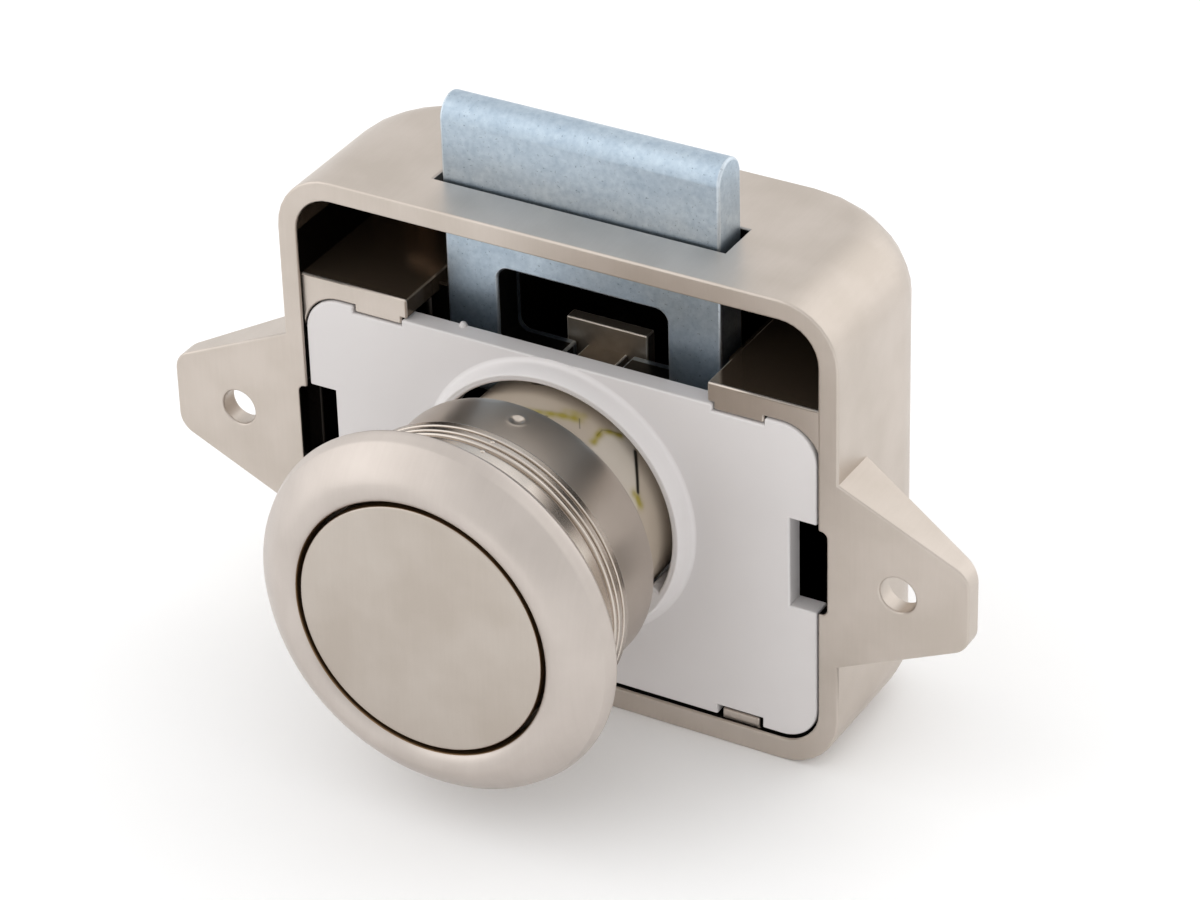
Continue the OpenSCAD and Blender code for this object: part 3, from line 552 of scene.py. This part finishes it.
def ring_profile():
    """Rosette: a neck of radius 14.8 with turned grooves, each sunk by depth exp(-((h - g) / w)^2), a flat
    back on the door, a bevel to the widest place, a slanted side band, a soft crease, a dome on a cubic
    curve and a round lip into the bore."""
    back_round, land_round, side_round, lip_round = 0.12, 0.24, 0.3, 0.75
    grooves_end = 16.2
    crease = (17.36, 21.78)
    h = np.linspace(NECK_BACK + back_round, grooves_end, 160)[:, None]
    place, width, depth = GROOVES.T
    sunk = (depth * np.exp(-((h - place) / width) ** 2)).sum(1)
    neck = np.stack([NECK_R - sunk, h[:, 0]], -1)
    t = np.radians(np.linspace(0, 90, 24))
    band = bezier((17.72, 20.86), (17.46, 21.54), (17.46, 21.6), crease, 9)
    dome = bezier(crease, (16.81, 22.48), (15.2, LIP_H), (CREST_R, LIP_H))
    lip_r = CREST_R - (CREST_R - BORE_R) * np.sin(t)
    lip = np.stack([lip_r, LIP_H - lip_round + lip_round * np.cos(t)], -1)
    return np.vstack([
        [[SEAT_R, NECK_BACK]],
        corner((NECK_R - back_round, NECK_BACK + back_round), back_round, -90, 0)[:-1],
        neck,
        [[NECK_R, PANEL_H - 0.02], [NECK_R + 0.02, PANEL_H]],
        corner((LAND_R - 0.1, PANEL_H + land_round), land_round, -90, -45),
        corner((RING_R - side_round, BEVEL_H + 0.32), side_round, -45, 8),
        band[:-1],
        dome,
        lip[1:-1],
        [[BORE_R, LIP_H - 0.8], [BORE_R, SLEEVE_FRONT], [SEAT_R, SLEEVE_FRONT]]])


def sleeve_points():
    """Bright sleeve: a tube with rounded ends; near one staked mark its outer wall sinks by a small crater
    d = -depth exp(-q^2) + rim exp(-((q - 1.3) / 0.5)^2), q being the distance from the mark over its
    radius, and two soft dents of 0.02 mm, on exp(-s^2) too, lie further round."""
    mark_angle, mark_h, mark_r = math.radians(82.7), 9.1, 0.52
    mark_depth, mark_rim = 0.22, 0.06
    dents = ((51, 9.6), (16, 9.0))
    dent_depth, dent_r, dent_stretch = 0.02, 1.1, 1.6
    end_round, bore_chamfer = 0.3, 0.2
    near = mark_angle + np.linspace(-0.095, 0.095, 49)
    t = np.unique(np.concatenate([np.linspace(0, 2 * np.pi, 160, endpoint=False), near]))
    h = np.concatenate([np.linspace(SLEEVE_BACK + end_round, SLEEVE_FRONT, 25),
                        mark_h + np.linspace(-1, 1, 41)])
    h = np.unique(h)
    end = corner((SLEEVE_R - end_round, SLEEVE_BACK + end_round), end_round, -90, 0, 6)
    wall = np.vstack([end[:-1],
                      np.stack([np.full(len(h), SLEEVE_R), h], -1),
                      [[BORE_R, SLEEVE_FRONT], [BORE_R, SLEEVE_BACK + bore_chamfer],
                       [BORE_R + bore_chamfer, SLEEVE_BACK]]])
    r, h = np.vstack([wall, wall[:1]]).T[..., None]
    q = np.hypot(SLEEVE_R * (t - mark_angle), h - mark_h) / mark_r
    dent = -mark_depth * np.exp(-q ** 2) + mark_rim * np.exp(-((q - 1.3) / 0.5) ** 2)
    for angle, height in dents:
        s = np.hypot(SLEEVE_R * (t - math.radians(angle)), (h - height) / dent_stretch) / dent_r
        dent = dent - dent_depth * np.exp(-s ** 2)
    radius = r + np.where(r > SLEEVE_R - 0.01, dent, 0)
    return round_axis(radius, h, t).reshape(-1, 3), quads(len(r), len(t), closed=True)


def disc_profile():
    """Face disc: a face that falls by crown (r / R)^2 from its middle, a small round edge, closed on the
    axis."""
    crown = 0.25
    edge = 0.22
    r = np.linspace(DISC_R - edge, 0, 24)
    face = np.stack([r, DISC_H - crown * (r / DISC_R) ** 2], -1)
    rim = corner((DISC_R - edge, face[0, 1] - edge), edge, 0, 90)
    return np.vstack([[[0, DISC_BACK], [DISC_R, DISC_BACK]], rim[:-1], face])


def collar_profile():
    """Front of the collar: a round lip, a straight slope outwards and a foot that runs out on the cover."""
    inner_r, lip_r, foot_r = 13.0, 13.2, 14.3
    lip_round = 0.2
    under = COVER_H - 0.2
    lip = corner((lip_r, COLLAR_H - 0.185), lip_round, 170, 32)
    foot = bezier((13.72, 0.2), (13.84, -0.15), (13.94, COVER_H + 0.02), (foot_r, COVER_H - 0.01), 12)
    return np.vstack([[[inner_r, under]], lip, foot, [[foot_r, under]]])


def coil(radius, wire, length, turns, rings=28, sides=10):
    """A coil spring standing on z = 0: a tube round a helix whose pitch closes at both ends,
    z = wire/2 + (length - wire) s with s eased over the first and last turn."""
    end_pitch = 0.35
    u = np.linspace(0, 1, int(turns * rings) + 1)
    lead = np.minimum(np.minimum(u, 1 - u) * turns, 1)
    step = end_pitch + (1 - end_pitch) * lead
    rise = np.concatenate([[0], np.cumsum((step[1:] + step[:-1]) / 2)])
    rise = wire / 2 + (length - wire) * rise / rise[-1]
    a = 2 * np.pi * turns * u
    b = 2 * np.pi * np.arange(sides) / sides
    r = radius - wire / 2 + wire / 2 * np.cos(b)[None]
    return np.stack([r * np.cos(a)[:, None], r * np.sin(a)[:, None],
                     rise[:, None] + wire / 2 * np.sin(b)[None]], -1)


def tubes(grid, places):
    """Closed tubes along rings of points, one for each place that the rings are moved to."""
    rows, sides = grid.shape[:2]
    count = rows * sides
    caps = [list(range(sides)), list(range(count - sides, count))[::-1]]
    faces = quads(rows, sides, closed=True) + caps
    points = np.concatenate([grid.reshape(-1, 3) + place for place in places])
    return points, [[i + k * count for i in f] for k in range(len(places)) for f in faces]


def bump_on(centre, radius, height, out, rings=8, steps=20):
    """A small bump: half an ellipsoid about a centre, standing along out, with its base a little sunk."""
    sunk = 0.15
    out = np.asarray(out, float) / np.linalg.norm(out)
    slant = (0.3, 0.9, 0.2)
    side = np.cross(out, slant)
    side /= np.linalg.norm(side)
    other = np.cross(out, side)
    v = np.linspace(0, np.pi / 2, rings)[:, None]
    t = np.linspace(0, 2 * np.pi, steps, endpoint=False)[None]
    points = (np.asarray(centre, float) + (radius * np.cos(v) * np.cos(t))[..., None] * side
              + (radius * np.cos(v) * np.sin(t))[..., None] * other
              + (height * np.sin(v) * np.ones_like(t))[..., None] * out)
    points = np.concatenate([points[:1] - sunk * height * out, points])
    return points.reshape(-1, 3), quads(rings + 1, steps, closed=True)


def thick_sheet(top, under):
    """A closed sheet between two grids of points: the faces of both and a band round their edges."""
    rows, columns = top.shape[:2]
    count = rows * columns
    index = np.arange(count).reshape(rows, columns)
    edge = np.concatenate([index[0, :-1], index[:-1, -1], index[-1, :0:-1], index[:0:-1, 0]])
    after = np.roll(edge, -1)
    band = np.stack([edge, after, after + count, edge + count], -1)
    faces = np.array(quads(rows, columns))
    back = faces[:, ::-1] + count
    points = np.concatenate([top.reshape(-1, 3), under.reshape(-1, 3)])
    return points, np.concatenate([faces, back, band]).tolist()


def from_line(flat, line):
    """Distance of points on the unrolled plunger from a line of angles in degrees and depths."""
    line = np.array([(PLUNGER_R * math.radians(angle), depth) for angle, depth in line])
    best = np.full(flat.shape[:-1], 99.0)
    for start, end in zip(line[:-1], line[1:]):
        way = end - start
        s = np.clip((flat - start) @ way / (way @ way), 0, 1)
        best = np.minimum(best, np.linalg.norm(flat - start - s[..., None] * way, axis=-1))
    return best


def strokes(flat, lines):
    """Soft strokes that add up: strength exp(-(distance / width)^2) along each line."""
    return sum(strength * np.exp(-(from_line(flat, line) / width) ** 2) for line, width, strength in lines)


def plunger_skin():
    """The plunger's face in the collar, a sheet on its cylinder: ridges of grease; moulded slits and step
    lines as shallow grooves darkened with painted shade; and a raised lug between the slits and the grease,
    lighter with painted light and bounded by two steps 1 / (1 + exp(x)). The grease is uneven by
    sin(3x + y) sin(2x - 4y)."""
    skin, ridge, groove, lug, under_skin = 0.03, 0.06, 0.01, 0.04, 0.3
    lug_end, lug_blur = 56.5, 0.5
    a, y = np.meshgrid(np.radians(np.linspace(14, 118, 400)), np.linspace(-4.6, 0.3, 80), indexing="ij")
    angle = np.degrees(a)
    flat = np.stack([PLUNGER_R * a, y], -1)
    round_way = flat[..., 0]
    uneven = 0.85 + 0.3 * np.sin(3 * round_way + y) * np.sin(2 * round_way - 4 * y)
    grease = strokes(flat, GREASE_LINES) * uneven
    # Painted shade along the slits and steps, which also sinks their shallow grooves
    slit_groove_shade = strokes(flat, SLIT_GROOVE_SHADE_LINES)
    slit_angle = 41.6 + 5.65 * (y + 0.41)
    # Painted light on the raised lug, which also sets its relief
    raised_lit_lug = 1 / (1 + np.exp((angle - lug_end) / lug_blur)) / (1 + np.exp((slit_angle - angle) / lug_blur))
    r = PLUNGER_R + skin + ridge * np.clip(grease, 0, 1) - groove * np.clip(slit_groove_shade, 0, 1) + lug * raised_lit_lug
    top = round_axis(r, -y, a)
    under = round_axis(PLUNGER_R - under_skin, -y, a)
    none = np.zeros(a.size)
    amounts = {name: np.concatenate([np.clip(value, 0, 1).ravel(), none])
               for name, value in (("grease", grease), ("slit_groove_shade", slit_groove_shade), ("raised_lit_lug", 0.8 * raised_lit_lug))}
    return thick_sheet(top, under), amounts


# Lines of angle and depth on the plunger, each with a half width and a strength
GREASE_LINES = [([(92.5, -4.2), (86.8, -4.0), (81.6, -3.6), (76.8, -3.05), (70.0, -2.3)], 0.50, 1.00),
                ([(76.0, -2.1), (70.0, -1.5)], 0.55, 0.45),
                ([(57.7, -3.6), (58.2, -2.85), (58.5, -1.7), (55.5, -1.15), (51.4, -0.5)], 0.36, 1.00),
                ([(27.5, -3.4), (22.4, -3.3)], 0.50, 1.10)]
# Lines of the slits and steps: shallow grooves filled with painted shade
SLIT_GROOVE_SHADE_LINES = [([(41.6, -0.4), (35.3, -1.6), (27.6, -2.9)], 0.20, 1.60),
              ([(69.7, -2.2), (66.4, -3.2)], 0.06, 0.60),
              ([(58.6, -2.6), (58.9, -1.6), (55.7, -1.0), (51.6, -0.4)], 0.06, 0.45),
              ([(83.0, -4.1), (81.5, -4.0)], 0.12, 0.80)]

# Turned pieces
ring = piece("rosette_ring_turned", *turned(ring_profile(), 240), NICKEL_TURNED, "body", "satin_nickel",
             ["rosette_ring"], sharp=40)
paint(ring, NICKEL_NECK, lambda r, h: (h < PANEL_H - 0.05) & (r > SEAT_R + 0.15))
# Painted shade on the ring's bore where it walls the gap round the button
paint(ring, GAP_SHADE, lambda r, h: (h > SLEEVE_FRONT) & (r < BORE_R + 0.09))
piece("rosette_sleeve_bright", *sleeve_points(), CHROME, "body", "bright_chrome", ["rosette_sleeve"])
# The button's face in the darker nickel copy, painted shade
disc = piece("knob_face", *turned(disc_profile(), 220), NICKEL_DISC_SHADED, "knob", "satin_nickel", ["knob_disc"])
# Painted shade on the button's edge, the other wall of that gap
paint(disc, GAP_SHADE, lambda r, h: r > DISC_R - 0.06)

# Bolt springs, cut where the driver's travel and the bolt's slam divide the coil, since in the lock the
# lower turns close up as the driver goes down and the upper ones as the bolt is slammed: the lower turns
# stay with the body, the upper ones ride on the driver
low_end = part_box("bolt_springs")[0].z / MM
high_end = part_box("bolt_springs")[1].z / MM
rings = coil(radius=1.9, wire=0.55, length=high_end - low_end, turns=12)
ring_z = rings[..., 2].mean(1) + low_end
share = low_end + (high_end - low_end) * TRAVEL / (TRAVEL + SLAM)
cut = int(np.argmin(abs(ring_z - share)))
places = [(side * SPRING_X, SPRING_Y, low_end) for side in (-1, 1)]
lower_turns = piece("bolt_coil_springs", *tubes(rings[:cut + 1], places), SPRING, "body", "spring_steel",
                    ["bolt_springs"])
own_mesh(lower_turns)
upper_turns = piece("bolt_coil_tops", *tubes(rings[cut:], places), SPRING, "driver", "spring_steel")
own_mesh(upper_turns)

# Plunger spring, with room in front for the press that trips the latch
back_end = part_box("plunger_spring")[1].y / MM
front_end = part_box("plunger_spring")[0].y / MM + OVER_PRESS
wound = coil(radius=2.4, wire=0.6, length=back_end - front_end, turns=11)
points, faces = tubes(wound, [(0, 0, 0)])
points = np.stack([points[:, 0], back_end - points[:, 2], points[:, 1] + PLUNGER_SPRING_Z], -1)
piece("plunger_coil_spring", points, faces, SPRING, "body", "spring_steel", ["plunger_spring"])

# Flat and cast pieces with their edges rounded, the case's in front of its round back
# The case's faces carry the depth of the painted shade inside it
rounded_copy("case", "case_casting", [NICKEL, NICKEL], "body", edge=0.22, deepest=11.5,
             shade=inside_shade)
rounded_copy("cover", "cover_moulding", [WHITE, WHITE], "body", edge=0.2,
             lip=(0.25, collar_lip))
# The bolt's window walls get painted shade
rounded_copy("bolt", "bolt_bar", [ZINC, ZINC_EDGE], "bolt", edge=0.25, shade=window_shade)
rounded_copy("driver", "driver_hook", [CAST, CAST_EDGE], "driver", edge=0.16)
rounded_copy("plunger", "plunger_moulding", [CREAM, CREAM], "knob", edge=0.15)

# Small marks: the collar's lip in a lighter copy of the white as painted light, pips on the neck, a sprue
# nub on the cover, grease on the plunger with painted shade in its slits and painted light on its lug
piece("cover_collar_face", *turned(collar_profile(), 200), WHITE_LIT_LIP, "body", "white_plastic")
mark = math.radians(80.5)
out = (math.cos(mark), 0, math.sin(mark))
for number, height in enumerate((14.3, 16.0)):
    centre = (NECK_R * out[0], -height, NECK_R * out[2])
    pip = bump_on(centre, radius=0.24, height=0.1, out=out)
    piece(f"neck_pip_{number}", *pip, NICKEL_NECK, "body", "satin_nickel")
nub = bump_on((-10.4, 2.1, 14.1), radius=0.4, height=0.55, out=(0, -0.2, 1))
piece("cover_sprue_nub", *nub, WHITE, "body", "white_plastic")
skin, amounts = plunger_skin()
stain(piece("plunger_greased_face", *skin, GREASED, "knob", "cream_plastic"), **amounts)

# CAD solids that keep their shape
KEPT = {"drive_pin": STEEL, "drive_rollers": NYLON, "spring_pins": STEEL, "spring_bridge": STEEL,
        "spring_post": STEEL, "bridge_screws": STEEL, "latch_pin": STEEL, "latch_leaf": SPRING,
        "knob_barrel": CHROME, "knob_screw": STEEL}
for node, material in KEPT.items():
    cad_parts[node].data.materials.clear()
    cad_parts[node].data.materials.append(material)

# Camera fitted to the photograph: turn, height and roll of the view, focal length and origin in pixels
AZIMUTH, ELEVATION, ROLL = math.radians(30.50), math.radians(31.99), math.radians(1.71)
WIDTH, HEIGHT = 1200, 900
FOCAL = 4685.5
ORIGIN_PX = (556.62, 498.21)
DISTANCE = 422.92 * MM
SENSOR = 36
level = math.cos(ELEVATION)
back_way = np.array([math.sin(AZIMUTH) * level, -math.cos(AZIMUTH) * level, math.sin(ELEVATION)])
right = np.cross(-back_way, [0, 0, 1])
right /= np.linalg.norm(right)
down = np.cross(-back_way, right)
rolled_right = math.cos(ROLL) * right + math.sin(ROLL) * down
rolled_down = -math.sin(ROLL) * right + math.cos(ROLL) * down
axes = np.stack([rolled_right, rolled_down, -back_way])
offset = np.array([(ORIGIN_PX[0] - WIDTH / 2) / FOCAL, (ORIGIN_PX[1] - HEIGHT / 2) / FOCAL, 1]) * DISTANCE
lens = bpy.data.cameras.new("photo_camera")
lens.sensor_fit = "HORIZONTAL"
lens.sensor_width = SENSOR
lens.lens = FOCAL / WIDTH * SENSOR
lens.clip_start = 0.01
lens.clip_end = 10
camera = bpy.data.objects.new("photo_camera", lens)
turn = np.eye(4)
turn[:3, :3] = np.stack([rolled_right, -rolled_down, back_way], -1)
turn[:3, 3] = -axes.T @ offset
camera.matrix_world = Matrix(turn.tolist())
scene.collection.objects.link(camera)
scene.camera = camera

# Pale floor under the case, its half side in metres
FLOOR_HALF = 1.5
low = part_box("case")[0].z
floor_corners = [(x * FLOOR_HALF, y * FLOOR_HALF, low) for x, y in ((-1, -1), (1, -1), (1, 1), (-1, 1))]
floor_mesh = bpy.data.meshes.new("floor")
floor_mesh.from_pydata(floor_corners, [], [(0, 1, 2, 3)])
floor_paint, _, floor_shader, _ = finish("pale_floor")
floor_shader.inputs["Base Color"].default_value = linear("#ffffff")
floor_shader.inputs["Roughness"].default_value = 0.9
floor_mesh.materials.append(floor_paint)
floor = bpy.data.objects.new("floor", floor_mesh)
scene.collection.objects.link(floor)

# Studio: a white tent, brighter at the left and at the back right, a little darker on the camera's side
world = bpy.data.worlds.new("studio")
scene.world = world
world.use_nodes = True
sky = world.node_tree
way = add(sky, "ShaderNodeTexCoord").outputs["Generated"]

# Soft panels in the tent: direction, cosine at the panel's edge and what its middle adds
PANELS = [((-0.80, -0.42, 0.43), 0.60, 0.60), ((0.48, 0.72, 0.50), 0.65, 0.50),
          ((0.45, -0.75, 0.48), 0.60, -0.10)]
glow = 1.0
for centre, edge, gain in PANELS:
    towards = add(sky, "ShaderNodeVectorMath", {0: way, 1: centre}, operation="DOT_PRODUCT")
    panel = add(sky, "ShaderNodeMapRange",
                {"Value": towards.outputs["Value"], "From Min": edge, "To Max": gain},
                interpolation_type="SMOOTHSTEP")
    total = add(sky, "ShaderNodeMath", {0: glow, 1: panel.outputs["Result"]}, operation="ADD")
    glow = total.outputs["Value"]
sky.links.new(glow, sky.nodes["Background"].inputs["Strength"])
sky.nodes["Background"].inputs["Color"].default_value = linear("#ffffff")
scene.view_settings.view_transform = "Standard"
